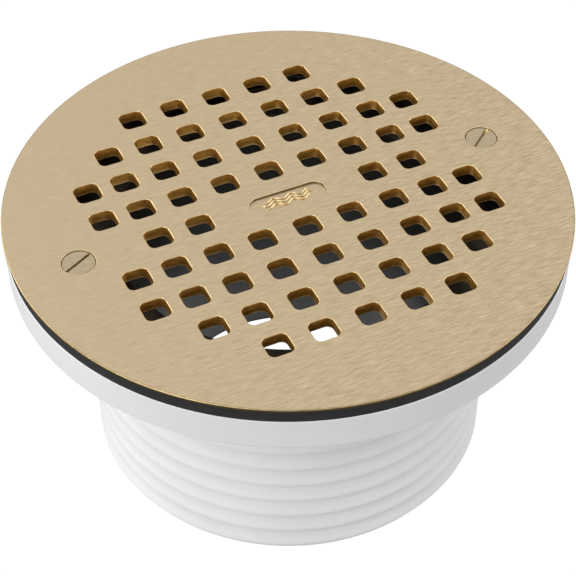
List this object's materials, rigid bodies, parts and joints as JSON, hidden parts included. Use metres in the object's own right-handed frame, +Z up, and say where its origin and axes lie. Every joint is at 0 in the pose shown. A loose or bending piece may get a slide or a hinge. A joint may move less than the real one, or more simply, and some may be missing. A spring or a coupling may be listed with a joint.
{
  "type": "floor drain strainer",
  "caption": "Round floor drain grate: a perforated brass plate screwed to a white plastic spud with a threaded tail, a black seal and a funnel liner.",
  "frame": {"origin": "on the spud's axis at the level of its lower end, which the part stands on", "axes": "+Z up along the axis, out of the floor; X runs through both screws and along the rows of holes"},
  "size_m": [0.1524, 0.1524, 0.0801],
  "materials": {
    "plate_metal": "satin, brushed along the rows of holes",
    "gasket_rubber": "matte",
    "liner_plastic": "satin",
    "spud_plastic": "satin",
    "screw_metal": "satin, turned",
    "insert_brass": "machined"
  },
  "bodies": {
    "spud": {"threaded_spud": "spud_plastic", "throat_liner": "liner_plastic", "sealing_gasket": "gasket_rubber", "insert_left": "insert_brass", "insert_right": "insert_brass"},
    "plate": {"strainer_plate": "plate_metal"},
    "screw_left": {"screw_left": "screw_metal"},
    "screw_right": {"screw_right": "screw_metal"}
  },
  "joints": [
    {"name": "plate_lift", "type": "slide", "parent": "spud", "child": "plate", "axis": [0, 0, 1], "range_m": [0, 0.05]},
    {"name": "screw_left_turn", "type": "hinge", "parent": "plate", "child": "screw_left", "pos_m": [-0.0593, 0, 0.0801], "axis": [0, 0, 1], "continuous": true},
    {"name": "screw_right_turn", "type": "hinge", "parent": "plate", "child": "screw_right", "pos_m": [0.0593, 0, 0.0801], "axis": [0, 0, 1], "continuous": true}
  ]
}
